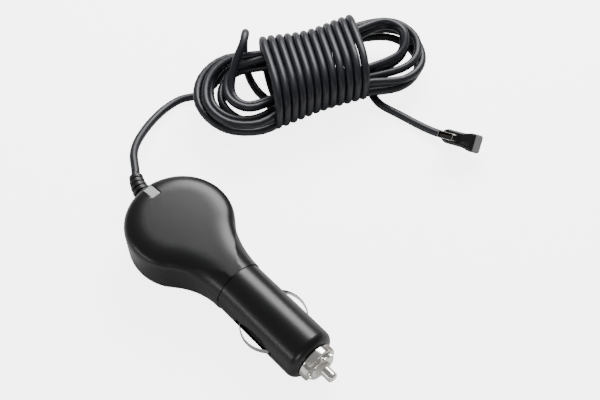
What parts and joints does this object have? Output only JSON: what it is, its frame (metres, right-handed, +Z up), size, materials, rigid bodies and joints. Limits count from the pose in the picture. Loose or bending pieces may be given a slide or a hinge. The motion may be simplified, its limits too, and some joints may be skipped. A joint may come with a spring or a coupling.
{
  "type": "vehicle power adapter",
  "caption": "Paddle-shaped 12 V vehicle socket power adapter with a fused screw nose, side ground springs, and a long tied lead to an angled mini USB plug.",
  "frame": {"origin": "under the middle of the adapter's body, on the surface it lies on", "axes": "+X towards the tip contact, +Z up out of the paddle's top face, +Y to the left of that"},
  "size_m": [0.1454, 0.1653, 0.028],
  "materials": {
    "housing_plastic": "satin",
    "lower_plastic": "satin",
    "nickel": "polished",
    "spring_steel": "bright",
    "screw_steel": "blackened",
    "brass": "satin",
    "nylon": "satin",
    "glass_clear": "clear",
    "fuse_element": "bright",
    "board_laminate": "satin",
    "can_sleeve": "gloss",
    "ferrite": "matte",
    "winding": "enamelled",
    "component_black": "matte",
    "led_white": "gloss",
    "lens_clear": "clear",
    "wire_red": "satin",
    "wire_black": "satin",
    "cord_pvc": "satin",
    "relief_rubber": "satin",
    "plug_plastic": "satin",
    "gold": "polished"
  },
  "bodies": {
    "housing": {"upper_housing": "housing_plastic", "lower_housing": "lower_plastic", "housing_screw_1": "screw_steel", "housing_screw_2": "screw_steel", "housing_screw_3": "screw_steel", "circuit_board": "board_laminate", "input_capacitor": "can_sleeve", "output_capacitor": "can_sleeve", "inductor_core": "ferrite", "inductor_winding": "winding", "regulator_chip": "component_black", "diode": "component_black", "led": "led_white", "led_lens": "lens_clear", "wire_supply": "wire_red", "wire_ground_left": "wire_black", "wire_ground_right": "wire_black", "wire_out_plus": "wire_red", "wire_out_minus": "wire_black", "rear_terminal": "brass", "contact_spring": "spring_steel", "strain_relief": "relief_rubber", "cord_exit": "cord_pvc", "cord_hank": "cord_pvc", "cord_plug_end": "cord_pvc", "plug_housing": "plug_plastic", "plug_shell": "nickel", "plug_tongue": "component_black", "plug_contacts": "gold"},
    "bush": {"insulating_bush": "nylon"},
    "cap": {"nose_cap": "nickel"},
    "plunger": {"tip_contact": "nickel", "fuse_cap_front": "nickel", "fuse_glass": "glass_clear", "fuse_wire": "fuse_element", "fuse_cap_rear": "nickel"},
    "ground_left": {"ground_spring_left": "spring_steel"},
    "ground_right": {"ground_spring_right": "spring_steel"}
  },
  "joints": [
    {"name": "cap_advance", "type": "slide", "parent": "housing", "child": "bush", "axis": [1, 0, 0], "range_m": [0, 0.004]},
    {"name": "cap_turn", "type": "hinge", "parent": "bush", "child": "cap", "pos_m": [0.043, 0, 0.0105], "axis": [1, 0, 0], "range_deg": [0, 1440]},
    {"name": "tip_press", "type": "slide", "parent": "bush", "child": "plunger", "axis": [-1, 0, 0], "range_m": [0, 0.0025], "stiffness_N_per_m": 1500, "springref_m": -0.001, "deforming": ["contact_spring"]},
    {"name": "ground_left_press", "type": "slide", "parent": "housing", "child": "ground_left", "axis": [0, 1, 0], "range_m": [0, 0.0028], "stiffness_N_per_m": 2000},
    {"name": "ground_right_press", "type": "slide", "parent": "housing", "child": "ground_right", "axis": [0, -1, 0], "range_m": [0, 0.0028], "stiffness_N_per_m": 2000}
  ],
  "couplings": [
    {"joint": "cap_turn", "follows": "cap_advance", "rad_per_m": 6283.2}
  ]
}
